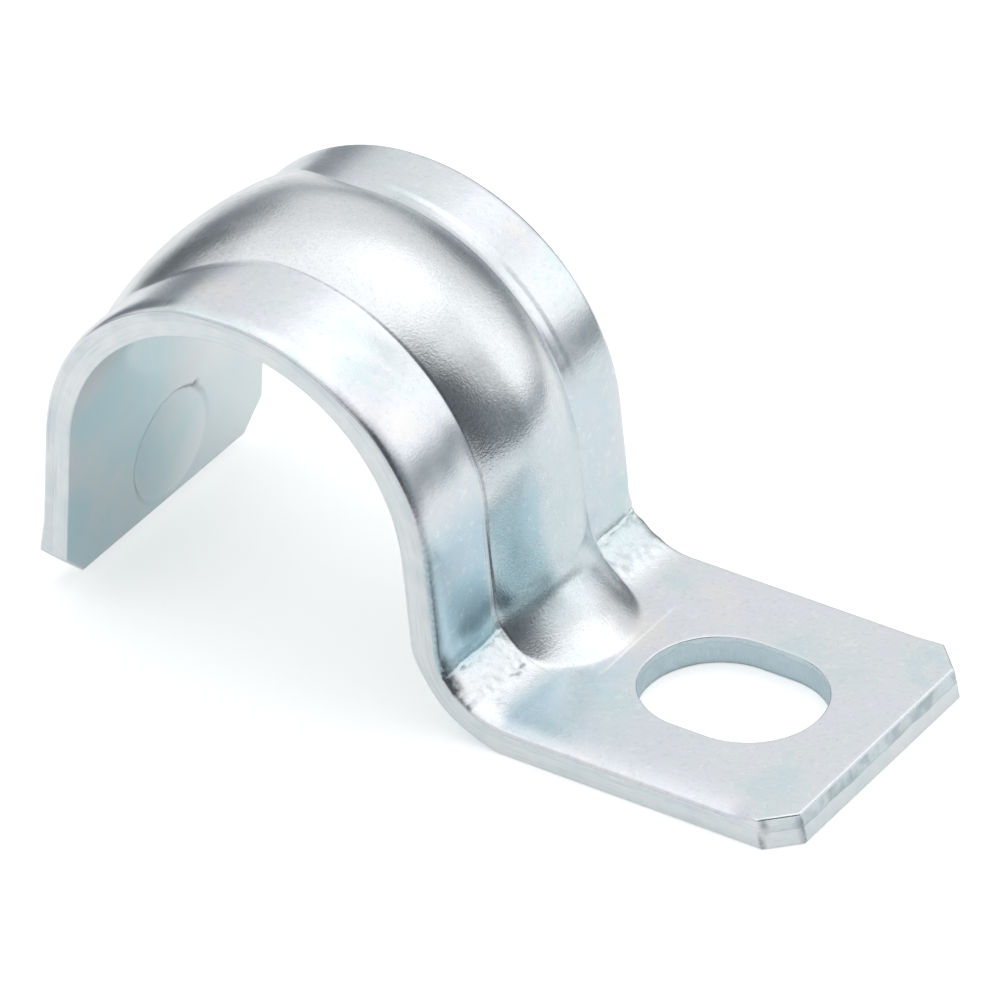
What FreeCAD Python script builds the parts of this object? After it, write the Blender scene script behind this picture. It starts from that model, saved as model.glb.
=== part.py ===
import FreeCAD, Part

import math
import os

# One-hole strap that holds a steel conduit on a wall: one strip of zinc-plated sheet
# steel, folded into a saddle over the conduit and a flat foot with a screw slot, and
# stiffened by a rib that is pressed outward down its middle.
# Millimetres. The origin is on the conduit's axis, halfway along the strap's width.
# +X runs from the saddle to the foot, +Y along the conduit, +Z away from the wall.

# The sheet
sheet = 1.55
strap_width = 15.6
rim_round = 0.28

# The folds: a free leg, the saddle, a fixed leg and the bend into the foot
saddle_radius = 9.0
free_leg_flare = 5.0
fixed_leg_length = 4.2
fixed_leg_flare = 4.0
bend_radius = 3.22

# How far the free leg's tip stays off the wall that the foot lies on
tip_clearance = 0.62

# The corners cut off both ends, and the screw slot in the foot with the flat left
# between it and the rib and between it and the foot's end
leg_corner = 1.38
foot_corner = 1.38
slot_width = 7.2
slot_length = 8.9
slot_to_rib = 1.45
slot_to_end = 3.4

# The rib: its height over the outer face and its width where it leaves that face, on
# its fanned start, along the crown, at the knuckle over the fixed leg, at the neck
# below the knuckle, and at the toe in the bend, which ends in a ball nose on the foot
fan_height = 0.78
fan_width = 11.6
crown_height = 0.92
crown_width = 7.05
knuckle_height = 1.25
neck_height = 0.5
neck_width = 7.55
toe_height = 1.4
toe_width = 7.5

# The rib is pressed a little to one side of the strip's middle
rib_offset = 0.48

# The slanting round mark that the forming tool leaves inside the free leg
mark_radius = 2.9
mark_depth = 0.2
mark_height = 3.0
mark_offset = 0.45

# How far the rib's own solids sink into the faces that they leave, for a clean join,
# and how far apart its sections are drawn
rib_bite = 0.5
rib_step = 1.2
nose_steps = 4

# Headings in the XZ plane, from +X towards +Z, and sizes that follow from the others
half_width = strap_width / 2
free_heading = math.radians(90 - free_leg_flare)
fixed_heading = math.radians(fixed_leg_flare - 90)
outer_radius = saddle_radius + sheet
bend_length = -bend_radius * fixed_heading
toe_reach = toe_width / 2 - bend_length / 2
foot_length = toe_reach + slot_to_rib + slot_length + slot_to_end


def along(heading):
    """Unit vector along a heading."""
    return FreeCAD.Vector(math.cos(heading), 0, math.sin(heading))


def outward(heading):
    """Unit vector out of the outer face, where the face runs along a heading."""
    return FreeCAD.Vector(-math.sin(heading), 0, math.cos(heading))


# Where the outer face turns, from the saddle to the foot's end
saddle_start = outward(free_heading) * outer_radius
saddle_end = outward(fixed_heading) * outer_radius
bend_start = saddle_end + along(fixed_heading) * fixed_leg_length
bend_centre = bend_start + outward(fixed_heading) * bend_radius
bend_end = bend_centre - outward(0) * bend_radius
foot_end = bend_end + along(0) * foot_length

# The free leg reaches down from the saddle until its tip is just clear of the wall
wall_level = bend_end.z - sheet
inner_start = saddle_start - outward(free_heading) * sheet
free_leg_length = (inner_start.z - wall_level - tip_clearance) / math.sin(free_heading)
leg_tip = saddle_start - along(free_heading) * free_leg_length

# Distances along the outer face, from the free leg's tip, where each stretch begins
saddle_from = free_leg_length
fixed_leg_from = saddle_from + outer_radius * (free_heading - fixed_heading)
bend_from = fixed_leg_from + fixed_leg_length
foot_from = bend_from + bend_length
foot_to = foot_from + foot_length


def outer_face(distance):
    """Point on the outer face and its heading, by distance from the free leg's tip."""
    if distance < saddle_from:
        return leg_tip + along(free_heading) * distance, free_heading
    if distance < fixed_leg_from:
        heading = free_heading - (distance - saddle_from) / outer_radius
        return outward(heading) * outer_radius, heading
    if distance < bend_from:
        return saddle_end + along(fixed_heading) * (distance - fixed_leg_from), fixed_heading
    if distance < foot_from:
        heading = fixed_heading + (distance - bend_from) / bend_radius
        return bend_centre - outward(heading) * bend_radius, heading
    return bend_end + along(0) * (distance - foot_from), 0.0


def in_sheet(distance, y, height):
    """Point at a distance along the strap, across it, and above its outer face."""
    point, heading = outer_face(distance)
    return point + outward(heading) * height + FreeCAD.Vector(0, y, 0)


def straight(start, end):
    """Edge of a straight line."""
    return Part.LineSegment(start, end).toShape()


def face_edges(y, height):
    """The folded profile's five edges at one side of the strap, above the outer face."""
    stops = [0, saddle_from, fixed_leg_from, bend_from, foot_from, foot_to]
    edges = []
    for number, (start, end) in enumerate(zip(stops, stops[1:])):
        first = in_sheet(start, y, height)
        last = in_sheet(end, y, height)
        if number % 2:
            middle = in_sheet((start + end) / 2, y, height)
            edges.append(Part.Arc(first, middle, last).toShape())
        else:
            edges.append(straight(first, last))
    return edges


def folded_strip():
    """The strip with its folds: the folded profile drawn across the strap's width."""
    outer = face_edges(-half_width, 0)
    inner = face_edges(-half_width, -sheet)
    tip = straight(in_sheet(0, -half_width, -sheet), in_sheet(0, -half_width, 0))
    end = straight(in_sheet(foot_to, -half_width, 0), in_sheet(foot_to, -half_width, -sheet))
    outline = Part.Wire([tip] + outer + [end] + inner[::-1])
    return Part.Face(outline).extrude(FreeCAD.Vector(0, strap_width, 0))


def corner_edges(strip, distance):
    """The two edges that run through the sheet at the corners of one end."""
    corners = [in_sheet(distance, side * half_width, -sheet / 2) for side in (-1, 1)]
    found = []
    for edge in strip.Edges:
        if any(edge.CenterOfMass.distanceToPoint(corner) < rim_round / 10 for corner in corners):
            found.append(edge)
    return found


def outer_rims(strip):
    """The edges of the outer face along both sheared sides of the strap."""
    sides = Part.makeCompound(face_edges(-half_width, 0) + face_edges(half_width, 0))
    found = []
    for edge in strip.Edges:
        middle = edge.valueAt((edge.FirstParameter + edge.LastParameter) / 2)
        ends = [vertex.Point for vertex in edge.Vertexes]
        points = [Part.Vertex(point) for point in ends + [middle]]
        if all(point.distToShape(sides)[0] < rim_round / 100 for point in points):
            found.append(edge)
    return found


def slot_punch():
    """The screw slot's punch: rounded ends, long way along the foot."""
    radius = slot_width / 2
    left = in_sheet(foot_to - slot_to_end - slot_length + radius, 0, -2 * sheet)
    right = in_sheet(foot_to - slot_to_end - radius, 0, -2 * sheet)
    side = FreeCAD.Vector(0, radius, 0)
    nose = FreeCAD.Vector(radius, 0, 0)
    outline = Part.Wire([
        straight(left - side, right - side),
        Part.Arc(right - side, right + nose, right + side).toShape(),
        straight(right + side, left + side),
        Part.Arc(left + side, left - nose, left - side).toShape(),
    ])
    return Part.Face(outline).extrude(FreeCAD.Vector(0, 0, 3 * sheet))


def ease(value, start, end):
    """Rise smoothly from 0 at the start to 1 at the end."""
    share = min(max((value - start) / (end - start), 0), 1)
    return share * share * (3 - 2 * share)


# Where the rib changes: it fades in above the free leg's tip, fans over the saddle's
# shoulder, runs as the crown, swells to the knuckle, sinks to the neck, and swells
# again to the toe, which is highest halfway round the bend
saddle_turn = fixed_leg_from - saddle_from
rib_from = 0.45 * free_leg_length
fan_at = saddle_from + 0.22 * saddle_turn
crown_from = saddle_from + 0.48 * saddle_turn
crown_to = saddle_from + 0.74 * saddle_turn
knuckle_at = saddle_from + 0.92 * saddle_turn
neck_at = fixed_leg_from + 0.3 * fixed_leg_length
neck_to = fixed_leg_from + 0.7 * fixed_leg_length
toe_at = bend_from + bend_length / 2


def blend(distance, levels):
    """Pass smoothly from level to level; each level is held between its two places."""
    _, held_to, value = levels[0]
    for start, end, level in levels[1:]:
        value += (level - value) * ease(distance, held_to, start)
        held_to = end
    return value


def rib_level(distance):
    """Height of the rib's ridge above the outer face, had it neither start nor nose."""
    return blend(distance, [
        (0, fan_at, fan_height),
        (crown_from, crown_to, crown_height),
        (knuckle_at, knuckle_at, knuckle_height),
        (neck_at, neck_to, neck_height),
        (toe_at, foot_to, toe_height),
    ])


def rib_width(distance):
    """Width of the rib where it leaves the outer face."""
    return blend(distance, [
        (0, fan_at, fan_width),
        (crown_from, knuckle_at, crown_width),
        (neck_at, neck_to, neck_width),
        (toe_at, foot_to, toe_width),
    ])


def rib_radius(distance):
    """Radius of the rib's round top, across the strap."""
    level = rib_level(distance)
    return (rib_width(distance) ** 2 / 4 + level ** 2) / (2 * level)


def nose_length(depth):
    """How far the ball nose runs on from the toe until it has sunk under the face."""
    ball = rib_radius(toe_at) - depth
    return math.sqrt(ball ** 2 - (ball - toe_height - rib_bite / 2) ** 2)


def rib_section(distance, depth):
    """Closed section of the rib's bulge: an arc that lies a depth below the rib's skin."""
    sunk = rib_bite / 2
    faded = (rib_level(distance) + sunk) * ease(distance, rib_from, fan_at) - sunk
    top = faded - depth
    radius = rib_radius(distance) - depth
    beyond = distance - toe_at
    if beyond > 0:
        ball = radius
        radius = math.sqrt(ball ** 2 - beyond ** 2)
        top -= ball - radius
    base = -depth - rib_bite
    reach = math.sqrt(radius ** 2 - (radius - (top - base)) ** 2)
    first = in_sheet(distance, rib_offset - reach, base)
    last = in_sheet(distance, rib_offset + reach, base)
    ridge = in_sheet(distance, rib_offset, top)
    return Part.Wire([Part.Arc(first, ridge, last).toShape(), straight(last, first)])


def rib_bulge(depth):
    """Solid of the rib's bulge, a depth below the rib's outer skin."""
    count = round((toe_at - rib_from) / rib_step)
    places = [rib_from + (toe_at - rib_from) * number / count for number in range(count)]
    nose_step = nose_length(depth) / nose_steps
    places += [toe_at + nose_step * number for number in range(nose_steps + 1)]
    return Part.makeLoft([rib_section(place, depth) for place in places], True)


def tool_mark():
    """The disc that the forming tool sinks into the free leg's inner face, on a slant."""
    tilt = FreeCAD.Rotation(outward(free_heading), -135)
    slant = math.degrees(math.atan(mark_depth / (2 * mark_radius)))
    hinge = tilt.multVec(along(free_heading))
    centre = in_sheet(mark_height, mark_offset, -sheet + mark_depth / 2)
    inward = FreeCAD.Rotation(hinge, slant).multVec(-outward(free_heading))
    return Part.makeCylinder(mark_radius, sheet, centre, inward)


def strap():
    """The whole strap as one piece of folded, punched and pressed sheet."""
    strip = folded_strip()
    strip = strip.makeChamfer(leg_corner, corner_edges(strip, 0))
    strip = strip.makeChamfer(foot_corner, corner_edges(strip, foot_to))
    strip = strip.makeFillet(rim_round, outer_rims(strip))
    strip = strip.cut(slot_punch())
    pressed = strip.fuse(rib_bulge(0)).cut(rib_bulge(sheet))
    return pressed.cut(tool_mark())


os.makedirs("parts", exist_ok=True)
finished = strap()
finished.exportStep("parts/strap.step")
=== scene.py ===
import math

import bmesh
import bpy
import numpy as np
from mathutils import Matrix, Vector


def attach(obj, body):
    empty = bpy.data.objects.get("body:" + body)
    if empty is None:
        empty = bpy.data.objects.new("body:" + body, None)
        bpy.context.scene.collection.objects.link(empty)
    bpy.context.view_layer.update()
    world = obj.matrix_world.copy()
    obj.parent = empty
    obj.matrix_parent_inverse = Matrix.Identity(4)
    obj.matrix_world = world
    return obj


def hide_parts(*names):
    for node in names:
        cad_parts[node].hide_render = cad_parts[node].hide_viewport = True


# One-hole conduit strap of bright zinc-plated sheet steel, dressed for its looks. The
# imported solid's sheet is drawn again as one finer skin, with the marks that the press
# left on it, and gets its plating, light, floor and camera. Sizes are in millimetres
# until a point is placed in the scene, in metres. A point of the sheet is given by its
# distance along the outer face from the free leg's tip, by y across the strap, and by
# its height above the plain outer face.

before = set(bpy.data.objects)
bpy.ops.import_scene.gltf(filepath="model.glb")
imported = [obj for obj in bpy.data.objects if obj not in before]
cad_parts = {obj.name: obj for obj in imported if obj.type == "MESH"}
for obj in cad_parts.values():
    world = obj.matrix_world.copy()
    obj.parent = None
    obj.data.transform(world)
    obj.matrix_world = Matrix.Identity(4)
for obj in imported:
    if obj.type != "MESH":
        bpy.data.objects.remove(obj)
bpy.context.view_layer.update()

MM = 0.001

# The sheet and its folds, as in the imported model
SHEET = 1.55
WIDTH = 15.6
RIM = 0.28
SADDLE_RADIUS = 9.0
FREE_FLARE = 5.0
FIXED_LEG = 4.2
FIXED_FLARE = 4.0
BEND_RADIUS = 3.22
TIP_CLEARANCE = 0.62
CORNER = 1.38

# The screw slot
SLOT_WIDTH = 7.2
SLOT_LENGTH = 8.9
SLOT_TO_RIB = 1.45
SLOT_TO_END = 3.4

# The rib, from its fanned start over the crown, knuckle and neck to its toe, how far it
# lies to one side, and how far its form has sunk under the face where it fades out
FAN_HEIGHT = 0.78
FAN_WIDTH = 11.6
CROWN_HEIGHT = 0.89
CROWN_WIDTH = 7.05
KNUCKLE_HEIGHT = 1.28
NECK_HEIGHT = 0.65
NECK_WIDTH = 7.55
TOE_START_HEIGHT = 1.1625
TOE_HEIGHT = 1.25
TOE_WIDTH = 7.5
RIB_OFFSET = 0.48
RIB_SUNK = 0.25

# The small rounds where faces meet: at the rib's crease and what is added to that round
# at the toe, inside the rib, along the ends, along the inner face and round the slot
CREASE_SOFT = 0.04
TOE_SOFT = 0.2
INNER_SOFT = 0.06
END_ROUND = 0.12
INNER_ROUND = 0.07
SLOT_ROUND = 0.06

# The near rim is rolled over more widely than the far one, and most along the foot; both
# rounds fade in from the cut corners
ROLLOVER = 0.9
FOOT_ROLLOVER = 1.9
FOOT_DROP = 0.46
ROUND_FADE = 2.0

# What the shears left: the taper of the foot's end and the tear in the slot's wall
END_TAPER = 0.26
SLOT_TEAR = 0.05

# Marks of the press: the crease that is coined across both bands at the bend, with its
# folds and a notch at the sides, the thinner sheet round the bend, how the rib's ridge
# eases into the bend, the step at its near flank's foot, the fall of the near band, the
# ledge and the shelf beside the crown, and the line of the foot's tool beside the toe;
# last, how far the whole outer face is sunk, so that its waves stay inside the solid
COIN_AT = 1.38
COIN_DEPTH = 0.12
FOLD_DEPTH = 0.022
NOTCH_DEPTH = 0.1
BEND_THINNING = 0.2
BEND_EASING = 1.7
RIDGE_EASING = 0.7
FLANK_STEP = 0.06
BAND_FALL = 0.045
LEDGE_AT = 4.81
LEDGE_DEPTH = 0.045
SHELF_DEPTH = 0.0315
DIE_LINE_GAP = 0.18
DIE_LINE_DEPTH = 0.025
SKIN_SUNK = 0.01

# The round tool mark inside the free leg, with its burr and the pit beside it; last,
# how far the whole inner face is raised
MARK_RADIUS = 2.9
MARK_DEPTH = 0.2
MARK_AT = 3.0
MARK_OFFSET = 0.45
BURR_HEIGHT = 0.02
PIT_AT = 5.43
PIT_OFFSET = 2.23
PIT_DEPTH = 0.08
INNER_RAISED = 0.027

# How close together the skin's rows lie: on plain stretches, at the tool mark, in the
# coined crease, round the rest of the bend and in the die line
STEP = 0.19
MARK_STEP = 0.11
CREASE_STEP = 0.032
BEND_STEP = 0.14
LINE_STEP = 0.05

# How many columns lie on the near band, the rib and the far band, the least width of a
# band, and how much closer together the columns lie at the rib's creases
NEAR_COLUMNS = 30
RIB_COLUMNS = 48
FAR_COLUMNS = 26
LEAST_BAND = 0.5
CLOSENESS = 0.7

# The slot's opening in that grid: how far it reaches past the slot, and how many of the
# bands' columns it takes; then the rings round the slot, the steps of its small round,
# and the steps down the walls and round the outer and inner rims
SLOT_MARGIN = 0.85
SLOT_NEAR_COLUMNS = 12
SLOT_FAR_COLUMNS = 9
SLOT_RINGS = 7
SLOT_STEPS = 3
WALL_STEPS = 7
RIM_STEPS = 6
INNER_STEPS = 3

# The skin's four materials, in this order
OUTER, EDGE, PUNCHED, INNER = range(4)

# How many millimetres of the sheet make one unit of the skin's UV map
UV_UNIT = 100

# The camera: where it stands, in millimetres, how it is turned, and its lens
CAMERA_AT = (254.56, -351.78, 295.63)
CAMERA_AHEAD = (-0.47099, 0.67475, -0.56822)
CAMERA_RIGHT = (0.83190, 0.55403, -0.03166)
CAMERA_SENSOR = 36.0
CAMERA_LENS = 419.92

# The floor in metres, and how much it glows, so that it shows white: as the camera sees
# it, and as the plating mirrors it
FLOOR_RADIUS = 0.17
FLOOR_TURN = 3
SEEN_GLOW = 0.42
MIRRORED_GLOW = 0.2

# The room that the plating mirrors: greys by height from the floor to the ceiling, then
# dark corners and bright panels. A corner or panel is its azimuth and elevation, the
# radii where it fades out and where it is full, all in degrees, and its brightness.
ROOM_LEVELS = (
    (0.0, 0.28, 0.12),
    (0.08, 0.32, 0.12),
    (0.19, 0.62, 0.04),
    (0.42, 0.83, 0.0),
    (0.62, 0.88, 0.0),
    (0.82, 1.0, 0.0),
)
DARK_CORNERS = (
    (-30, 20, 44, 22, 0.11),
    (6, 10, 27, 8, 0.28),
    (155, 12, 24, 9, 0.16),
    (93, 7, 17, 6, 0.16),
)
BRIGHT_PANELS = (
    (22, 36, 20, 8, 0.92),
    (68, 10, 13, 5, 1.0),
    (49, 25, 19, 12, 1.28),
    (122, 16, 14, 6, 0.85),
    (225, 40, 50, 25, 0.8),
    (60, 82, 38, 16, 1.26),
    (70, 62, 26, 12, 1.42),
    (198, 60, 20, 10, 1.15),
)
CORNER_TINT = 0.14
MIRRORED_WHITE = 0.04

# Sizes that follow from the others
HALF = WIDTH / 2
FREE_HEADING = math.radians(90 - FREE_FLARE)
FIXED_HEADING = math.radians(FIXED_FLARE - 90)
OUTER_RADIUS = SADDLE_RADIUS + SHEET
BEND_LENGTH = -BEND_RADIUS * FIXED_HEADING
TOE_REACH = TOE_WIDTH / 2 - BEND_LENGTH / 2
FOOT = TOE_REACH + SLOT_TO_RIB + SLOT_LENGTH + SLOT_TO_END


def along(heading):
    """Unit vectors along headings in the XZ plane, from +X towards +Z."""
    return np.stack([np.cos(heading), 0 * heading, np.sin(heading)], -1)


def outward(heading):
    """Unit vectors out of the outer face, where it runs along these headings."""
    return np.stack([-np.sin(heading), 0 * heading, np.cos(heading)], -1)


# Where the outer face turns, and the distances along it from the free leg's tip
SADDLE_START = outward(np.array(FREE_HEADING)) * OUTER_RADIUS
SADDLE_END = outward(np.array(FIXED_HEADING)) * OUTER_RADIUS
BEND_START = SADDLE_END + along(np.array(FIXED_HEADING)) * FIXED_LEG
BEND_CENTRE = BEND_START + outward(np.array(FIXED_HEADING)) * BEND_RADIUS
BEND_END = BEND_CENTRE - outward(np.array(0.0)) * BEND_RADIUS
WALL_LEVEL = BEND_END[2] - SHEET
INNER_START = SADDLE_START - outward(np.array(FREE_HEADING)) * SHEET
FREE_LEG = (INNER_START[2] - WALL_LEVEL - TIP_CLEARANCE) / math.sin(FREE_HEADING)
LEG_TIP = SADDLE_START - along(np.array(FREE_HEADING)) * FREE_LEG
SADDLE_FROM = FREE_LEG
FIXED_FROM = SADDLE_FROM + OUTER_RADIUS * (FREE_HEADING - FIXED_HEADING)
BEND_FROM = FIXED_FROM + FIXED_LEG
FOOT_FROM = BEND_FROM + BEND_LENGTH
FOOT_TO = FOOT_FROM + FOOT

# Where the rib changes
TURN = FIXED_FROM - SADDLE_FROM
RIB_FROM = 0.45 * FREE_LEG
FAN_AT = SADDLE_FROM + 0.22 * TURN
CROWN_FROM = SADDLE_FROM + 0.48 * TURN
CROWN_TO = SADDLE_FROM + 0.74 * TURN
KNUCKLE_AT = SADDLE_FROM + 0.92 * TURN
NECK_AT = FIXED_FROM + 0.3 * FIXED_LEG
NECK_TO = FIXED_FROM + 0.7 * FIXED_LEG
TOE_FROM = BEND_FROM + 1.1
TOE_AT = BEND_FROM + BEND_LENGTH / 2

# Where the slot's middle, the foot's corner cuts and the tool marks lie
SLOT_AT = FOOT_TO - SLOT_TO_END - SLOT_LENGTH / 2
CUT_AT = FOOT_TO - CORNER
CREASE_AT = BEND_FROM + COIN_AT
FOLDS_AT = BEND_FROM + 3.25
DIE_LINE_AT = FOOT_FROM + TOE_REACH + DIE_LINE_GAP

# Spans along the strap, or across it: start, end, and the margin in which it fades
BEND_SPAN = (BEND_FROM - 0.6, BEND_FROM + 1.2, 1.0)
THINNED_SPAN = (BEND_FROM + 1.6, FOOT_FROM - 1.4, 1.5)
DRAWN_SPAN = (BEND_FROM + 1.4, FOOT_FROM - 0.5, 0.6)
FLANK_SPAN = (29.5, BEND_FROM, 2.0)
FALL_SPAN = (23.0, 30.5, 2.5)
LEDGE_SPAN = (24.5, 35.4, 0.9)
SHELF_SPAN = (17.5, 22.0, 1.5)
DEEP_FILM_SPAN = (42.5, 45.1, 1.6)
DIE_LINE_ACROSS = (-1.6, 3.7, 0.6)

# Patches of the plating's blue film: strength, span along the strap, span across it
NECK_FILM = (1.0, (40.0, 44.2, 2.2), (-2.7, -0.6, 1.3))
BELLY_FILM = (0.45, (38.5, 45.0, 4.0), (-2.0, 6.5, 2.0))
FOOT_FILM = (0.1, (48.5, 55.0, 3.0), (-6.6, -1.5, 2.5))

# Streaks: height or strength, span along the streak, its middle and its half width. The fine ridge
# beside the rib's near flank is raised, and the film is thinned along it as a painted highlight.
# The streaks in the rib's near crease and at the ledge are painted shade, the burr streaks are
# dirt, and the near rim and fold streaks are dark lines.
FLANK_RIDGE = (0.025, (37.0, 45.0, 1.5), 0.16, 0.07)
RIDGE_PAINTED_HIGHLIGHT = (1.0, (38.0, 45.4, 2.0), 0.17, 0.09)
CREASE_PAINTED_SHADE = (0.6, (25.0, 46.0, 3.0), -0.03, 0.045)
LEDGE_PAINTED_SHADE = (0.6, (29.0, 36.3, 0.8), LEDGE_AT, 0.06)
NEAR_RIM_DARK_LINE = (0.6, (31.0, 45.8, 1.5), 0.14 - HALF, 0.17)
NEAR_BURR_DIRT = (1.0, (44.8, 46.0, 0.6), 0.3 - HALF, 0.3)
FAR_BURR_DIRT = (0.8, (45.9, 47.0, 0.5), HALF - 0.15, 0.3)
FIRST_FOLD = (0.8, (-4.7, -3.7, 0.3), 0.0, 0.06)
SECOND_FOLD = (0.5, (-6.6, -6.0, 0.25), 0.4, 0.05)

# Darkening beside the rib, partly burnt plating and partly a painted dark reflection: strength,
# span along it, span off its crease
FAN_BURN_AND_DARK_REFLECTION = (0.3, (16.5, 20.5, 1.2), (-1.9, -0.4, 0.6))
KNUCKLE_BURN_AND_DARK_REFLECTION = (0.3, (33.2, 36.6, 1.4), (-2.3, -0.4, 0.8))
TOE_BURN_AND_DARK_REFLECTION = (0.32, (44.3, 45.6, 1.1), (-2.6, -0.5, 0.7))


def place(distance, y, height):
    """Points in metres: along the strap, across it, and above its outer face."""
    legs = distance < SADDLE_FROM
    saddle = (distance >= SADDLE_FROM) & (distance < FIXED_FROM)
    fixed = (distance >= FIXED_FROM) & (distance < BEND_FROM)
    bend = (distance >= BEND_FROM) & (distance < FOOT_FROM)
    foot = distance >= FOOT_FROM
    heading = np.select(
        [legs, saddle, fixed, bend, foot],
        [
            FREE_HEADING,
            FREE_HEADING - (distance - SADDLE_FROM) / OUTER_RADIUS,
            FIXED_HEADING,
            FIXED_HEADING + (distance - BEND_FROM) / BEND_RADIUS,
            0.0,
        ],
    )
    out = outward(heading)
    ahead = along(heading)
    points = np.zeros(distance.shape + (3,))
    points[legs] = LEG_TIP + ahead[legs] * distance[legs][:, None]
    points[saddle] = out[saddle] * OUTER_RADIUS
    points[fixed] = SADDLE_END + ahead[fixed] * (distance[fixed] - FIXED_FROM)[:, None]
    points[bend] = BEND_CENTRE - out[bend] * BEND_RADIUS
    points[foot] = BEND_END + ahead[foot] * (distance[foot] - FOOT_FROM)[:, None]
    points += out * height[..., None]
    points[..., 1] += y
    return points * MM


def ease(value, start, end):
    """Rise smoothly from 0 at the start to 1 at the end."""
    share = np.clip((value - start) / (end - start), 0, 1)
    return share * share * (3 - 2 * share)


def window(value, start, end, soft):
    """1 between the start and the end, fading to 0 over a soft margin outside them."""
    return ease(value, start - soft, start) * (1 - ease(value, end, end + soft))


def line_at(value, middle, width):
    """1 on a line and 0 away from it."""
    return np.exp(-((value - middle) / width) ** 2)


def patch(first, second, strength, first_span, second_span):
    """A strength that fades out at the margins of two spans."""
    return strength * window(first, *first_span) * window(second, *second_span)


def streak(lengthwise, crosswise, strength, span, middle, width):
    """A line of some strength that fades out at both ends of its span."""
    return strength * line_at(crosswise, middle, width) * window(lengthwise, *span)


def blend(distance, levels):
    """Pass smoothly from level to level; each level is held between its two places."""
    _, held_to, value = levels[0]
    value = value + 0 * distance
    for start, end, level in levels[1:]:
        value = value + (level - value) * ease(distance, held_to, start)
        held_to = end
    return value


def rib_level(distance):
    """Height of the rib's ridge above the outer face."""
    return blend(distance, [
        (0, FAN_AT, FAN_HEIGHT),
        (CROWN_FROM, CROWN_TO - 0.2, CROWN_HEIGHT),
        (KNUCKLE_AT - 0.8, KNUCKLE_AT - 0.5, KNUCKLE_HEIGHT),
        (NECK_AT, NECK_AT + 0.2, NECK_HEIGHT),
        (TOE_FROM, TOE_FROM, TOE_START_HEIGHT),
        (TOE_AT, FOOT_TO, TOE_HEIGHT),
    ])


def rib_width(distance):
    """Width of the rib where it leaves the outer face."""
    return blend(distance, [
        (0, FAN_AT, FAN_WIDTH),
        (CROWN_FROM, KNUCKLE_AT, CROWN_WIDTH),
        (NECK_AT, NECK_TO, NECK_WIDTH),
        (TOE_AT, FOOT_TO, TOE_WIDTH),
    ])


def rib_rise(distance, y, depth):
    """How far the rib rises over the face that lies a depth below the outer one."""
    level = rib_level(distance)
    faded = (level + RIB_SUNK) * ease(distance, RIB_FROM, FAN_AT) - RIB_SUNK
    radius = (rib_width(distance) ** 2 / 4 + level ** 2) / (2 * level) - depth
    beyond = np.clip(distance - TOE_AT, 0, 0.999 * radius)
    ball = np.sqrt(radius ** 2 - beyond ** 2)
    side = np.minimum(np.abs(y - RIB_OFFSET), 0.999 * ball)
    return faded - radius + np.sqrt(ball ** 2 - side ** 2)


def side_of_rib(distance, y):
    """Distance outside the rib's near crease and outside its far one."""
    half = rib_width(distance) / 2
    return RIB_OFFSET - half - y, y - RIB_OFFSET - half


def meet(rise, soft):
    """The higher of a rise and the flat face, with a small round between them."""
    return (rise + np.sqrt(rise ** 2 + soft ** 2)) / 2 - soft ** 2 / (4 * np.abs(rise) + 4 * soft)


def waves(distance, y):
    """The slight unevenness of pressed sheet, in millimetres."""
    swell = np.sin(0.83 * distance + 0.6 * y) * np.sin(0.57 * y - 0.3 * distance + 1.0)
    ripple = np.sin(2.1 * distance - 1.3 * y + 0.5) * np.sin(1.7 * y + 0.9 * distance)
    return 0.006 * swell + 0.0025 * ripple


def wrinkles(distance, y):
    """The fine folds that coining leaves, from -1 to 1."""
    first = np.sin(5.1 * distance + 7.3 * y + 1.7 * np.sin(3.1 * y))
    second = np.sin(9.7 * distance - 4.9 * y + 2.3 * np.sin(2.3 * distance + 1.9 * y))
    return (first + second) / 2


def eased_rise(distance, y):
    """The rib's rise over the outer face, with its ridge smoothed into the bend."""
    rise = rib_rise(distance, y, 0.0)
    before = rib_rise(distance - RIDGE_EASING, y, 0.0)
    after = rib_rise(distance + RIDGE_EASING, y, 0.0)
    return rise + ((before + after) / 2 - rise) * 0.5 * window(distance, *BEND_SPAN)


def bend_fill(distance, rise):
    """What fills the rib's hollow where its ridge turns into the bend."""
    inside = np.clip(BEND_EASING - np.abs(distance - BEND_FROM), 0, None)
    return inside ** 3 / (12 * BEND_EASING * BEND_RADIUS) * ease(rise, -0.1, 0.4)


def flank_step(distance, near):
    """Depth of the step at the foot of the rib's near flank."""
    before_toe = 1 - ease(distance, TOE_AT - 0.8, TOE_AT + 0.3)
    span = window(distance, *FLANK_SPAN) * before_toe
    return FLANK_STEP * span * ease(near, -0.07, 0.03) * (1 - ease(near, 0.1, 1.6))


def band_fall(distance, near):
    """How far the near band falls away from the rib beside the crown."""
    return BAND_FALL * np.clip(near - 0.1, 0, None) * window(distance, *FALL_SPAN)


def ledge(distance, y, far):
    """Depth of the ledge pressed beside the crown on the far band."""
    span = window(distance, *LEDGE_SPAN) * (1 - ease(y, LEDGE_AT - 0.05, LEDGE_AT + 0.05))
    return LEDGE_DEPTH * ease(far, -0.1, 0.35) * span


def shelf(distance, near):
    """Depth of the shelf beside the fan on the near band."""
    span = window(distance, *SHELF_SPAN) * (1 - ease(near, 0.45, 0.53))
    return SHELF_DEPTH * ease(near, -0.05, 0.25) * span


def crease_line(y):
    """Where the coined crease runs, which wavers a little across the strap."""
    return CREASE_AT + 0.04 * np.sin(2.3 * y) + 0.015 * np.sin(7.1 * y + 1.0)


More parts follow.
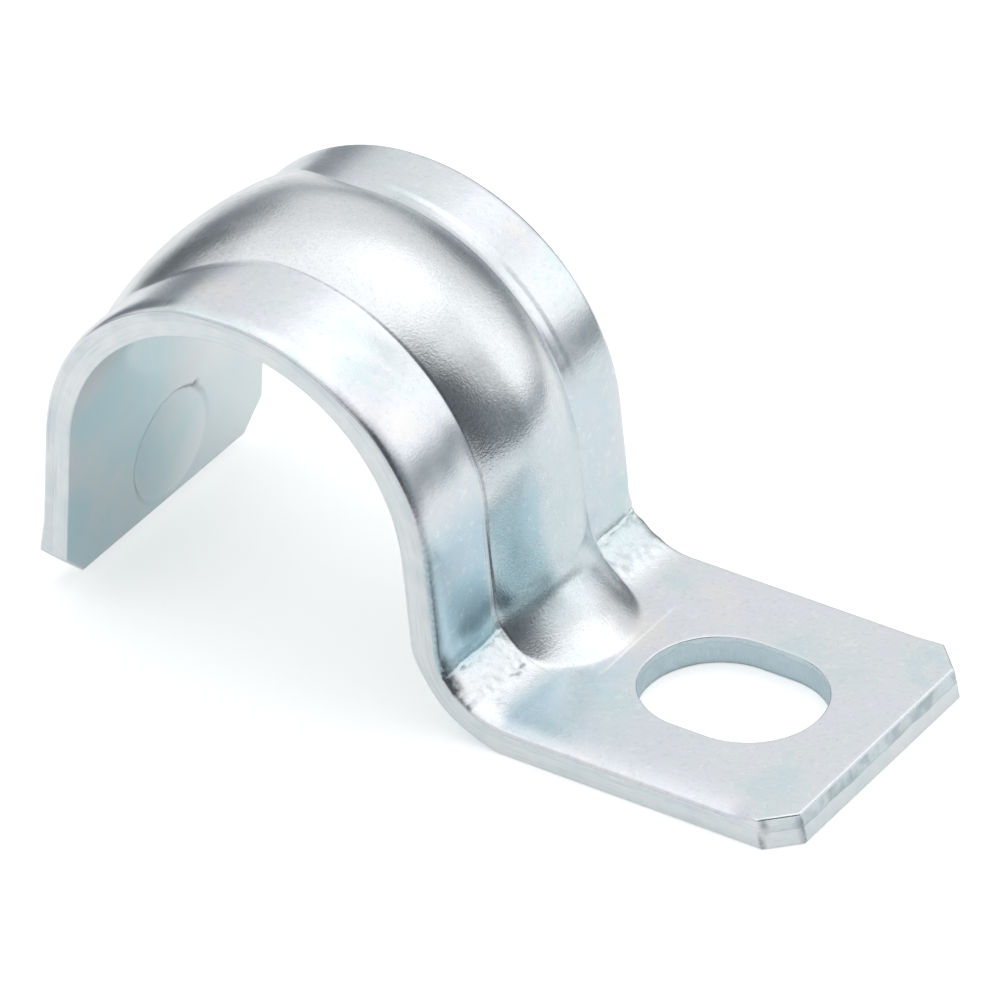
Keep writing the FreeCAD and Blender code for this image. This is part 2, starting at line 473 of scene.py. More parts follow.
def coined_depth(distance, y):
    """Depth of the bands where they are coined: down to the crease, then back, with folds."""
    crease = crease_line(y)
    coined = ease(distance, BEND_FROM - 0.3, crease)
    recovery = 0.25 + 0.75 * ease(distance, crease, crease + 1.7)
    coined *= 1 - ease(distance, crease + 0.02, crease + 0.14) * recovery
    folds = wrinkles(distance, y) * window(distance, crease + 0.2, crease + 2.0, 0.3)
    return COIN_DEPTH * coined + FOLD_DEPTH * folds


def notch(distance, y):
    """Depth of the notch that the crease leaves at both sides of the strap."""
    crease = crease_line(y)
    span = window(distance, crease - 0.05, crease + 0.5, 0.2)
    return NOTCH_DEPTH * (span * ease(np.abs(y), HALF - 0.9, HALF - 0.4))


def die_line(distance, y):
    """Depth of the line that the foot's tool leaves beside the toe."""
    after = 1 - ease(distance, DIE_LINE_AT + 0.3, DIE_LINE_AT + 1.7)
    pressed_in = ease(distance, DIE_LINE_AT, DIE_LINE_AT + 0.09) * after
    return DIE_LINE_DEPTH * window(y, *DIE_LINE_ACROSS) * pressed_in


def outer_height(distance, y):
    """The outer face's height over the plain folded sheet."""
    near, far = side_of_rib(distance, y)
    beside_rib = ease(np.maximum(near, far), -0.1, 0.25)
    rise = eased_rise(distance, y)
    soft = CREASE_SOFT + TOE_SOFT * ease(distance, TOE_AT + 0.8, TOE_AT + 2.2)
    height = meet(rise, soft)
    height += bend_fill(distance, rise)
    height -= flank_step(distance, near)
    height -= band_fall(distance, near)
    height += streak(distance, near, *FLANK_RIDGE)
    height -= ledge(distance, y, far)
    height -= shelf(distance, near)
    height -= beside_rib * coined_depth(distance, y)
    height -= notch(distance, y)
    height -= die_line(distance, y)
    return height + waves(distance, y) * ease(HALF - np.abs(y), 0.3, 1.2) - SKIN_SUNK


def mark_reach(distance, y):
    """Distance of a point from the middle of the tool mark."""
    return np.sqrt((y - MARK_OFFSET) ** 2 + (distance - MARK_AT) ** 2)


def mark_slant(distance, y):
    """The slant of the mark's floor: 0 at its shallow side and 1 at its deep side."""
    toward = (distance - MARK_AT) - (y - MARK_OFFSET)
    return np.clip(0.5 + 0.5 * toward / (math.sqrt(2) * MARK_RADIUS), 0, 1)


def pit_reach(distance, y):
    """Distance of a point from the pit beside the tool mark."""
    return np.sqrt((y - PIT_OFFSET) ** 2 + (distance - PIT_AT) ** 2)


def inner_height(distance, y):
    """The inner face's height over the plain outer face, with the tool mark."""
    height = meet(rib_rise(distance, y, SHEET), INNER_SOFT) - SHEET
    reach = mark_reach(distance, y)
    slant = mark_slant(distance, y)
    dish = MARK_DEPTH * slant * (0.6 + 0.5 * (reach / MARK_RADIUS) ** 4)
    height += dish * (1 - ease(reach, MARK_RADIUS - 0.08, MARK_RADIUS + 0.03))
    height -= BURR_HEIGHT * line_at(reach - MARK_RADIUS, 0.12, 0.09) * slant
    height += PIT_DEPTH * (1 - ease(pit_reach(distance, y), 0.06, 0.3))
    height += BEND_THINNING * window(distance, *THINNED_SPAN)
    return height + 0.7 * waves(distance + 9.0, y) + INNER_RAISED


def pressed(distance, y):
    """How much a point's grain was drawn open by the rib's press, from 0 to 1."""
    near, far = side_of_rib(distance, y)
    rib = 1 - ease(np.maximum(near, far), -0.3, 0.1)
    nose = 1 - ease(distance, FOOT_FROM, FOOT_FROM + 1.2)
    bend = 0.6 * window(distance, *DRAWN_SPAN)
    return np.maximum(rib * nose * ease(distance, RIB_FROM, FAN_AT), bend * (1 - rib))


def film_and_painted_light(distance, y):
    """Where the plating's film is thick enough to show blue, from 0 to 1, thinned along the fine
    ridge beside the rib's near flank as a painted highlight.
    """
    near, _ = side_of_rib(distance, y)
    band = ease(distance, 36.5, 40.0) * (1 - ease(distance, 45.15, 45.6)) * ease(near, -0.2, 0.4)
    deep = window(distance, *DEEP_FILM_SPAN) * ease(near, 0.0, 1.5) * (1 - ease(near, 2.5, 4.2))
    # Painted highlight: the film is thinned along the fine ridge beside the near flank, so that
    # line shows lighter
    near_band = (0.85 * band + 0.5 * deep) * (1 - streak(distance, near, *RIDGE_PAINTED_HIGHLIGHT))
    neck = patch(distance, y, *NECK_FILM)
    belly = patch(distance, y, *BELLY_FILM)
    foot = patch(distance, y, *FOOT_FILM)
    return np.clip(np.maximum.reduce([near_band, neck, belly, foot]), 0, 1.2)


def corner_dark_lines(distance, y, height):
    """Dark lines along the upright edges of the foot's near cut corner, half as strong at the top
    of the wall.
    """
    first = line_at(distance, CUT_AT - 0.05, 0.09) * (y < 1.0 - HALF)
    second = line_at(y, CORNER - HALF + 0.05, 0.09) * (distance > FOOT_TO - 0.5)
    at_corner = distance + np.abs(y) > CUT_AT + HALF - 0.35
    return 0.8 * np.maximum(first, second) * (1 - ease(height, -0.25, 0.0) * 0.5) * at_corner


def fold_dark_lines(distance, y):
    """Dark lines along two of the folds that the coining left on the near band."""
    past = distance - FOLDS_AT - 0.14 * np.sin(2.6 * y) - 0.05 * np.sin(8.3 * y)
    return streak(y, past, *FIRST_FOLD) + streak(y, past, *SECOND_FOLD)


def dirt_and_shade(distance, y, height):
    """Where the outer face and its walls are darkened, from 0 to 1: dirt at the burrs, painted
    shade in the rib's near crease and at the ledge, burnt plating with a painted dark reflection
    beside the rib, and dark lines along the near rim, two folds and the cut corner.
    """
    near, _ = side_of_rib(distance, y)
    on_top = ease(height, -0.4, -0.2)
    return np.maximum.reduce([
        # Painted shade in the rib's near crease and in the crease at the ledge's step
        streak(distance, near, *CREASE_PAINTED_SHADE),
        streak(distance, y, *LEDGE_PAINTED_SHADE),
        # A dark line along the top of the near rim
        streak(distance, y, *NEAR_RIM_DARK_LINE) * on_top,
        streak(distance, y, *NEAR_BURR_DIRT) * ease(height, -0.45, -0.25),
        streak(distance, y, *FAR_BURR_DIRT) * on_top,
        fold_dark_lines(distance, y),
        # Burnt plating with a painted dark reflection beside the rib
        patch(distance, near, *FAN_BURN_AND_DARK_REFLECTION),
        patch(distance, near, *KNUCKLE_BURN_AND_DARK_REFLECTION),
        patch(distance, near, *TOE_BURN_AND_DARK_REFLECTION),
        corner_dark_lines(distance, y, height),
    ])


def inner_painted_shade(distance, y):
    """Where painted shade darkens the inner face: the small pit and the mark's deep side."""
    edge = line_at(mark_reach(distance, y), MARK_RADIUS + 0.02, 0.06)
    edge *= 0.35 * ease(mark_slant(distance, y), 0.35, 0.75)
    return np.maximum(0.9 * line_at(pit_reach(distance, y), 0.0, 0.16), edge)


def mark_light_and_shade(distance, y):
    """The tool mark's painted light and shade: pale on its shallow side, dark on its deep side; 0.5
    outside it.
    """
    inside = 1 - ease(mark_reach(distance, y), MARK_RADIUS - 0.3, MARK_RADIUS)
    return 0.5 + (mark_slant(distance, y) - 0.45) * inside


def stops(start, end, step):
    """Evenly spaced values from the start up to, but without, the end."""
    count = max(int(round((end - start) / step)), 1)
    return [start + (end - start) * number / count for number in range(count)]


def rows():
    """Distances of the skin's rows, closer together where the form turns sharply."""
    line = DIE_LINE_AT - 0.02
    marks = [
        (0, MARK_STEP),
        (CORNER, MARK_STEP),
        (MARK_AT + MARK_RADIUS + 0.3, STEP),
        (SADDLE_FROM, STEP),
        (FIXED_FROM, STEP),
        (BEND_FROM, STEP),
        (CREASE_AT - 0.1, CREASE_STEP),
        (CREASE_AT + 0.22, BEND_STEP),
        (FOOT_FROM, STEP),
        (line, LINE_STEP),
        (line + 0.15, STEP),
        (SLOT_AT - SLOT_LENGTH / 2 - SLOT_MARGIN, STEP),
        (SLOT_AT + SLOT_LENGTH / 2 + SLOT_MARGIN, STEP),
        (CUT_AT, STEP),
        (FOOT_TO, STEP),
    ]
    found = []
    for (start, step), (end, _) in zip(marks, marks[1:]):
        found += stops(start, end, step)
    return np.array(found + [FOOT_TO])


def closing(count, start, end, at_start, at_end):
    """Places from the start up to the end that lie closer together at either one."""
    share = np.arange(count) / count
    slow = (at_start + at_end) / 2
    lean = (at_end - at_start) / 2
    share = share - slow * np.sin(2 * math.pi * share) / (2 * math.pi)
    share = share + lean * np.sin(math.pi * share) / math.pi
    return list(start + (end - start) * share)


def columns(distance, low, high):
    """Places across the strap at one row, close together at the rib's two creases."""
    width = float(rib_width(np.array(distance)))
    near = max(RIB_OFFSET - width / 2, low + LEAST_BAND)
    far = min(RIB_OFFSET + width / 2, high - LEAST_BAND)
    places = closing(NEAR_COLUMNS, low, near, 0.0, CLOSENESS)
    places += closing(RIB_COLUMNS, near, far, CLOSENESS, CLOSENESS)
    places += closing(FAR_COLUMNS, far, high, CLOSENESS, 0.0)
    return np.array(places + [high])


def moved_in(distance, inset, taper):
    """A row's distance once the ends are moved in, and the foot's end by its taper."""
    slide = inset * (math.sqrt(2) - 1)
    knots = [0, CORNER, 2 * CORNER, FOOT_TO - 2 * CORNER, CUT_AT, FOOT_TO]
    moved = [inset, CORNER + slide, 2 * CORNER]
    moved += [FOOT_TO - 2 * CORNER, CUT_AT - slide - taper, FOOT_TO - inset - taper]
    return np.interp(distance, knots, moved)


def half_width(distance, inset, side_inset, taper):
    """Half the strap's width at a distance, inside its cut corners."""
    cut = inset * math.sqrt(2)
    to_tip = HALF - CORNER + distance - cut
    to_end = HALF - CORNER + FOOT_TO - taper - distance - cut
    return np.minimum(np.minimum(to_tip, to_end), HALF - side_inset)


def rim_round(distance, widest):
    """Size of the round along a side's outer rim; it is small at the cut corners."""
    inner = np.minimum(distance, FOOT_TO - distance)
    return END_ROUND + (widest - END_ROUND) * ease(inner, CORNER, CORNER + ROUND_FADE)


def near_round(distance, before, after):
    """Size of the near rim's round, which passes from one size to another at the foot."""
    widest = before + (after - before) * ease(distance, BEND_FROM + 2.0, FOOT_FROM + 1.5)
    return rim_round(distance, widest)


def stadium(angle, outset):
    """Points on the slot's outline, moved out from the slot, by angle from its middle."""
    radius = SLOT_WIDTH / 2 + outset
    reach = (SLOT_LENGTH - SLOT_WIDTH) / 2
    c = np.cos(angle)
    s = np.sin(angle)
    flat = radius / np.maximum(np.abs(s), 1e-9)
    shift = reach * np.abs(c)
    cap = shift + np.sqrt(np.maximum(shift ** 2 - reach ** 2 + radius ** 2, 0))
    length = np.where(flat * np.abs(c) <= reach, flat, cap)
    return SLOT_AT + length * c, length * s


class Skin:
    """Collects vertices, in strip coordinates, and quads of the closed sheet."""

    def __init__(self):
        self.strip = []
        self.count = 0
        self.quads = []
        self.kinds = []

    def add(self, distance, y, height):
        """Add vertices and return their numbers."""
        self.strip.append(np.stack([distance, y, height], -1).reshape(-1, 3))
        numbers = np.arange(self.count, self.count + distance.size).reshape(distance.shape)
        self.count += distance.size
        return numbers

    def points(self, numbers):
        """Strip coordinates of vertices by number."""
        return np.concatenate(self.strip)[numbers]

    def quad(self, corners, kind):
        """Add one quad of a kind of surface."""
        self.quads.append(tuple(int(corner) for corner in corners))
        self.kinds.append(kind)

    def join(self, first, second, kind):
        """Quads between two closed rings with the same number of vertices."""
        first = np.append(first, first[0])
        second = np.append(second, second[0])
        for corners in zip(first, first[1:], second[1:], second):
            self.quad(corners, kind)

    def ring(self, before, distance, y, height, kind):
        """Add a closed ring of vertices, join it to the one before and return it."""
        numbers = self.add(distance, y, height)
        self.join(before, numbers, kind)
        return numbers


def side_lines(distances, inset, share, taper):
    """Row distances with the near and far sides' places, moved in from the outline.

    The sides lie inside by a share of the rims' rounds, or by the inset without a share.
    """
    moved = moved_in(distances, inset, taper)
    if share is None:
        near = far = half_width(moved, inset, inset, taper)
    else:
        rolled = near_round(distances, ROLLOVER, FOOT_ROLLOVER)
        near = half_width(moved, inset, rolled * share, taper)
        far = half_width(moved, inset, rim_round(distances, RIM) * share, taper)
    return moved, -near, far


def face_grid(skin, distances, sides, across, height_of, kind):
    """One face's grid of vertices, with the slot's opening left out."""
    down = np.repeat(sides[0][:, None], across.shape[1], 1)
    numbers = skin.add(down, across, height_of(down, across))
    margin = SLOT_LENGTH / 2 + SLOT_MARGIN
    first = int(np.searchsorted(distances, SLOT_AT - margin - 1e-6))
    last = int(np.searchsorted(distances, SLOT_AT + margin - 1e-6))
    near = NEAR_COLUMNS - SLOT_NEAR_COLUMNS
    far = NEAR_COLUMNS + RIB_COLUMNS + SLOT_FAR_COLUMNS
    for row in range(len(distances) - 1):
        for column in range(across.shape[1] - 1):
            if first <= row < last and near <= column < far:
                continue
            corners = (numbers[row, column], numbers[row, column + 1])
            corners += (numbers[row + 1, column + 1], numbers[row + 1, column])
            skin.quad(corners, kind)
    hole = list(numbers[first:last, near]) + list(numbers[last, near:far])
    hole += list(numbers[last:first:-1, far]) + list(numbers[first, far:near:-1])
    rim = list(numbers[:-1, 0]) + list(numbers[-1, :-1])
    rim += list(numbers[:0:-1, -1]) + list(numbers[0, :0:-1])
    return numbers, np.array(hole), np.array(rim)


def slot_rings(skin, hole, outset, height_of, kind):
    """Quads from the hole in a face's grid in to the slot's outline."""
    border = skin.points(hole)
    angle = np.arctan2(border[:, 1], border[:, 0] - SLOT_AT)
    lip_s, lip_y = stadium(angle, outset)
    ring = hole
    for layer in range(1, SLOT_RINGS + 1):
        share = (layer / SLOT_RINGS) ** 0.8
        s = border[:, 0] + (lip_s - border[:, 0]) * share
        y = border[:, 1] + (lip_y - border[:, 1]) * share
        ring = skin.ring(ring, s, y, height_of(s, y), kind)
    return ring, angle


def shares_of(row):
    """Places across one row as shares of the way from its near to its far side."""
    return (row - row[0]) / (row[-1] - row[0])


def outline(distances, tip_shares, end_shares, inset, share, taper):
    """Strip coordinates of the whole outline, moved in from the sides and ends."""
    moved, near, far = side_lines(distances, inset, share, taper)
    end = near[-1] + (far[-1] - near[-1]) * end_shares
    tip = near[0] + (far[0] - near[0]) * tip_shares
    s = np.concatenate([
        moved[:-1],
        np.full(len(end) - 1, moved[-1]),
        moved[:0:-1],
        np.full(len(tip) - 1, moved[0]),
    ])
    y = np.concatenate([near[:-1], end[:-1], far[:0:-1], tip[:0:-1]])
    return s, y


def outer_wall(skin, distances, top, top_rim, low_rim):
    """The rims and walls along the whole outline, from the outer to the inner face."""
    tip_shares = shares_of(skin.points(top[0])[:, 1])
    end_shares = shares_of(skin.points(top[-1])[:, 1])
    near_drop = near_round(distances, RIM, FOOT_DROP)
    far_drop = rim_round(distances, RIM)
    end_drop = np.full(len(end_shares) - 1, END_ROUND)
    drop = np.concatenate([near_drop[:-1], end_drop, far_drop[:0:-1], end_drop])
    top_level = skin.points(top_rim)[:, 2]
    low_level = skin.points(low_rim)[:, 2]
    ring = top_rim
    for step in range(1, RIM_STEPS + 1):
        turn = math.pi / 2 * step / RIM_STEPS
        left = 1 - math.sin(turn)
        s, y = outline(distances, tip_shares, end_shares, END_ROUND * left, left, END_TAPER)
        ring = skin.ring(ring, s, y, top_level - drop * (1 - math.cos(turn)), OUTER)
    wall_top = top_level - drop
    wall_foot = low_level + INNER_ROUND
    for step in range(1, WALL_STEPS + 1):
        drawn = END_TAPER * (1 - step / WALL_STEPS)
        s, y = outline(distances, tip_shares, end_shares, 0.0, 0.0, drawn)
        level = wall_top + (wall_foot - wall_top) * step / WALL_STEPS
        ring = skin.ring(ring, s, y, level, EDGE)
    for step in range(1, INNER_STEPS):
        turn = math.pi / 2 * step / INNER_STEPS
        inset = INNER_ROUND * (1 - math.cos(turn))
        s, y = outline(distances, tip_shares, end_shares, inset, None, 0.0)
        ring = skin.ring(ring, s, y, low_level + INNER_ROUND * (1 - math.sin(turn)), EDGE)
    skin.join(ring, low_rim, EDGE)


def slot_wall(skin, top_hole, low_hole):
    """The slot: the rings round it on both faces, its small round and its wall."""
    ring, angle = slot_rings(skin, top_hole, SLOT_ROUND, outer_height, OUTER)
    lip_level = skin.points(ring)[:, 2]
    for step in range(1, SLOT_STEPS + 1):
        turn = math.pi / 2 * step / SLOT_STEPS
        s, y = stadium(angle, SLOT_ROUND * (1 - math.sin(turn)))
        ring = skin.ring(ring, s, y, lip_level - SLOT_ROUND * (1 - math.cos(turn)), OUTER)
    for step in range(1, WALL_STEPS + 1):
        share = step / WALL_STEPS
        depth = SLOT_ROUND + (SHEET - INNER_ROUND - SLOT_ROUND) * share
        s, y = stadium(angle, SLOT_TEAR * float(ease(np.array(share), 0.25, 0.45)))
        ring = skin.ring(ring, s, y, -depth + 0 * s, PUNCHED)
    low_lip, _ = slot_rings(skin, low_hole, SLOT_TEAR + INNER_ROUND, inner_height, INNER)
    skin.join(ring, low_lip, PUNCHED)


def build_skin():
    """The whole sheet as one closed mesh."""
    skin = Skin()
    distances = rows()
    sides = side_lines(distances, END_ROUND, 1.0, END_TAPER)
    across = np.array([columns(*row) for row in zip(*sides)])
    top, top_hole, top_rim = face_grid(skin, distances, sides, across, outer_height, OUTER)
    sides = side_lines(distances, INNER_ROUND, None, 0.0)
    across = np.linspace(sides[1], sides[2], across.shape[1], axis=1)
    _, low_hole, low_rim = face_grid(skin, distances, sides, across, inner_height, INNER)
    outer_wall(skin, distances, top, top_rim, low_rim)
    slot_wall(skin, top_hole, low_hole)
    return skin


def add_uv_map(mesh, skin, strip):
    """Lay the sheet flat: along the strap, and across it or down its walls."""
    uv = mesh.uv_layers.new(name="strip")
    corners = np.zeros(len(mesh.loops), dtype=np.int32)
    mesh.loops.foreach_get("vertex_index", corners)
    wall = np.repeat(np.isin(skin.kinds, (EDGE, PUNCHED)), 4)
    across = np.where(wall, -strip[corners, 2], strip[corners, 1] + HALF)
    uv.data.foreach_set("uv", np.stack([strip[corners, 0], across], -1).ravel() / UV_UNIT)


def add_layers(mesh, strip):
    """Write what the materials need to know about each vertex."""
    distance, y, height = strip.T
    below = height < -SHEET / 2
    inside = height < inner_height(distance, y) + 0.02
    # The inner face's film is laid darker toward the near side and paler toward the far side, a
    # painted reflection of the strap's shadow on the floor and of the lit floor
    inner_film_and_reflection = 1 - ease(y, -3.0, 4.5)
    layers = {
        "pressed": np.where(below, 0.0, pressed(distance, y)),
        "film_and_painted_light": np.where(below, inner_film_and_reflection, film_and_painted_light(distance, y)),
        # the tool mark's painted light and shade, on the inner face only
        "mark": np.where(below, mark_light_and_shade(distance, y), 0.0),
        "dirt_and_shade": np.where(inside, inner_painted_shade(distance, y), dirt_and_shade(distance, y, height)),
    }
    for name, values in layers.items():
        layer = mesh.attributes.new(name, "FLOAT", "POINT")
        layer.data.foreach_set("value", values.astype(np.float32))


def strap_object(materials):
    """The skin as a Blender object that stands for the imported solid."""
    skin = build_skin()
    strip = np.concatenate(skin.strip)
    points = place(strip[:, 0], strip[:, 1], strip[:, 2])
    mesh = bpy.data.meshes.new("strap_skin")
    mesh.from_pydata([tuple(point) for point in points], [], skin.quads)
    for material in materials:
        mesh.materials.append(material)
    mesh.polygons.foreach_set("material_index", skin.kinds)
    add_uv_map(mesh, skin, strip)
    add_layers(mesh, strip)
    shaped = bmesh.new()
    shaped.from_mesh(mesh)
    bmesh.ops.recalc_face_normals(shaped, faces=shaped.faces)
    shaped.to_mesh(mesh)
    shaped.free()
    mesh.polygons.foreach_set("use_smooth", [True] * len(mesh.polygons))
    mesh.update()
    piece = bpy.data.objects.new("strap_skin", mesh)
    bpy.context.scene.collection.objects.link(piece)
    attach(piece, "root")
    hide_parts("strap")


class Nodes:
    """A short way to build the nodes of a material or of the world."""

    def __init__(self, tree):
        self.tree = tree

    def put(self, value, socket):
        """Set an input to a value, or link it to another node's output."""
        if isinstance(value, bpy.types.NodeSocket):
            self.tree.links.new(value, socket)
        else:
            socket.default_value = value

    def set(self, node, **settings):
        """Set up a node; settings that name an input set it or link it."""
        for name, value in settings.items():
            if hasattr(node, name):
                setattr(node, name, value)
            else:
                self.put(value, node.inputs[name.replace("_", " ")])
        return node

    def add(self, kind, **settings):
        """Add a node of a kind and set it up."""
        return self.set(self.tree.nodes.new(kind), **settings)

    def layer(self, name):
        """One of the values that each vertex of the mesh carries."""
        return self.add("ShaderNodeAttribute", attribute_name=name).outputs["Fac"]

    def sum(self, operation, *values):
        """One step of arithmetic with numbers or other nodes' outputs."""
        node = self.add("ShaderNodeMath", operation=operation)
        for value, socket in zip(values, node.inputs):
            self.put(value, socket)
        return node.outputs["Value"]

    def noise(self, vector, scale, detail=2.0, roughness=0.5, distortion=0.0):
        """Noise from 0 to 1 at a scale per metre."""
        node = self.add(
            "ShaderNodeTexNoise", Vector=vector, Scale=scale, Detail=detail,
            Roughness=roughness, Distortion=distortion)
        return node.outputs["Fac"]

    def stretched(self, vector, scale):
        """Coordinates that are scaled by a different amount along each axis."""
        return self.add("ShaderNodeMapping", Vector=vector, Scale=scale).outputs["Vector"]

    def ramp(self, value, places, colours):
        """Colours by a value, each at its own place."""
        node = self.add("ShaderNodeValToRGB", Fac=value)
        elements = node.color_ramp.elements
        while len(elements) < len(places):
            elements.new(0.5)
        for element, at, colour in zip(elements, places, colours):
            element.position = at
            element.color = colour
        return node.outputs["Color"]

    def mix(self, factor, first, second, blend_type="MIX"):
        """Mix two colours by a factor."""
        node = self.add("ShaderNodeMix", data_type="RGBA", blend_type=blend_type)
        self.put(factor, node.inputs[0])
        self.put(first, node.inputs[6])
        self.put(second, node.inputs[7])
        return node.outputs[2]

    def spread(self, value, low, high, to_low, to_high):
        """Map a value from one range to another."""
        node = self.add(
            "ShaderNodeMapRange", Value=value, From_Min=low, From_Max=high,
            To_Min=to_low, To_Max=to_high)
        return node.outputs["Result"]

    def bump(self, height, strength, distance, **under):
        """A surface made uneven by a height, over another surface if one is given."""
        node = self.add(
            "ShaderNodeBump", Strength=strength, Distance=distance, Height=height, **under)
        return node.outputs["Normal"]


def rgb(red, green, blue):
    """An opaque colour."""
    return (red, green, blue, 1.0)


def grey(value, tint=0.0):
    """A grey, with red taken away and blue added by a tint."""
    return (value * (1 - tint), value, value * (1 + 0.6 * tint), 1.0)


# The plating's colours: its clouds from blue to bare grey, the film of blue at its thin
# and thick ends, the grain of the pressed rib, and its mottle, flecks and specks
CLOUDS = (
    rgb(0.68, 0.78, 0.80),
    rgb(0.76, 0.80, 0.82),
    rgb(0.77, 0.79, 0.84),
    rgb(0.81, 0.81, 0.81),
)
THICK_FILM = rgb(0.22, 0.52, 0.61)
THIN_FILM = rgb(0.38, 0.62, 0.69)
PRESSED_GREY = rgb(0.79, 0.81, 0.82)
MOTTLE_BLUE = rgb(0.60, 0.66, 0.70)
DULL_FLECK = rgb(0.50, 0.53, 0.55)
BRIGHT_FLECK = rgb(0.92, 0.93, 0.94)
OPEN_SPECK = rgb(0.40, 0.44, 0.46)
# The dark colour of dirt and of painted shade
DIRT_AND_SHADE = rgb(0.06, 0.07, 0.08)

# The inner face's colours: its blue film, darker where the face mirrors the strap's shadow on the
# floor and paler where it mirrors the lit floor, both painted reflection; the tool mark's painted
# shade on its deep side and painted light on its shallow side; flecks
INNER_SHADED_FILM = (rgb(0.49, 0.66, 0.70), rgb(0.58, 0.67, 0.70), rgb(0.65, 0.67, 0.67))
INNER_LIT_FILM = (rgb(0.67, 0.78, 0.80), rgb(0.77, 0.80, 0.80))
MARK_PAINTED_SHADE = rgb(0.44, 0.56, 0.60)
MARK_PAINTED_LIGHT = rgb(0.88, 0.90, 0.91)
INNER_FLECK = rgb(0.48, 0.55, 0.58)

# The sheared sides' colours: their clouds, the burnished band with its worn patches, the
# broken line between it and the torn band, which stays pale, and the shear's fine lines
SHEARED_CLOUDS = (rgb(0.68, 0.75, 0.77), rgb(0.78, 0.81, 0.82))
BURNISHED = (rgb(0.62, 0.68, 0.70), rgb(0.90, 0.94, 0.95))
BROKEN_LINE = rgb(0.40, 0.42, 0.42)
SHEAR_LINE = rgb(0.50, 0.56, 0.58)

# The slot wall's colours: its fine lines, and the worn band along its top
PUNCHED_LINES = (rgb(0.50, 0.63, 0.68), rgb(0.60, 0.71, 0.75))
WORN_BAND = (rgb(0.64, 0.73, 0.77), rgb(0.50, 0.60, 0.65), rgb(0.57, 0.69, 0.74))

# How rough the sheared sides and the slot's wall are
WALL_ROUGHNESS = 0.4

# Where the slot's and the foot's end walls change from burnished to torn, in UV units
# down the wall, and where along the strap the end's wall begins
TEAR_START = 0.0082
TEAR_END = 0.0088
BREAK_START = 0.0078
BREAK_END = 0.0092
WORN_TO = 0.0185
WORN_FADE_START = 0.0075
WORN_FADE_END = 0.0115
END_WALL_START = (FOOT_TO - 1.5) / UV_UNIT
END_WALL_FULL = (FOOT_TO - 0.9) / UV_UNIT


def new_material(name):
    """An empty material with its shader, and helpers for its nodes."""
    material = bpy.data.materials.new(name)
    material.use_nodes = True
    shader = material.node_tree.nodes["Principled BSDF"]
    return material, shader, Nodes(material.node_tree)


def darkened_by_dirt_and_shade(nodes, where, base):
    """A base colour darkened by dirt and by painted shade, broken up into specks."""
    specks = nodes.spread(nodes.noise(where, 5200.0, 3.0, 0.6), 0.3, 0.7, 1.0, 0.45)
    return nodes.mix(nodes.sum("MULTIPLY", nodes.layer("dirt_and_shade"), specks), base, DIRT_AND_SHADE)


def plating():
    """Bright zinc plate: clouds of blue and grey, fine grain, flecks and specks."""
    material, shader, nodes = new_material("zinc_plate")
    where = nodes.add("ShaderNodeTexCoord").outputs["Object"]
    drawn = nodes.layer("pressed")
    blue = nodes.layer("film_and_painted_light")
    clouds = nodes.noise(where, 210.0, 4.0, 0.6, 0.5)
    base = nodes.ramp(clouds, (0.34, 0.46, 0.56, 0.66), CLOUDS)
    base = nodes.mix(nodes.spread(drawn, 0.0, 1.0, 0.0, 0.7), base, PRESSED_GREY)
    film = nodes.mix(clouds, THICK_FILM, THIN_FILM)
    base = nodes.mix(nodes.spread(blue, 0.0, 1.2, 0.0, 0.7), base, film)
    mottle = nodes.noise(where, 3400.0, 3.0, 0.7)
    base = nodes.mix(nodes.spread(mottle, 0.46, 0.30, 0.0, 0.45), base, MOTTLE_BLUE)
    flecks = nodes.noise(where, 2700.0, 3.0, 0.65)
    base = nodes.mix(nodes.spread(flecks, 0.26, 0.38, 0.22, 0.0), base, DULL_FLECK)
    base = nodes.mix(nodes.spread(flecks, 0.58, 0.68, 0.0, 0.35), base, BRIGHT_FLECK)
    specks = nodes.spread(nodes.noise(where, 9000.0, 2.0, 0.7), 0.52, 0.72, 0.0, 0.26)
    base = nodes.mix(nodes.sum("MULTIPLY", specks, drawn), base, OPEN_SPECK)
    base = darkened_by_dirt_and_shade(nodes, where, base)
    rough = nodes.spread(nodes.noise(where, 520.0, 4.0, 0.6), 0.3, 0.7, 0.19, 0.29)
    grain = nodes.noise(where, 8600.0, 2.0, 0.6)
    fine = nodes.bump(grain, nodes.spread(drawn, 0.0, 1.0, 0.09, 0.25), 0.00005)
    brushed = nodes.noise(nodes.stretched(where, (1.0, 0.22, 1.0)), 2900.0, 3.0, 0.6, 0.5)
    surface = nodes.bump(brushed, 0.04, 0.00008, Normal=fine)
    nodes.set(shader, Base_Color=base, Metallic=1.0, Roughness=rough, Normal=surface)
    return material


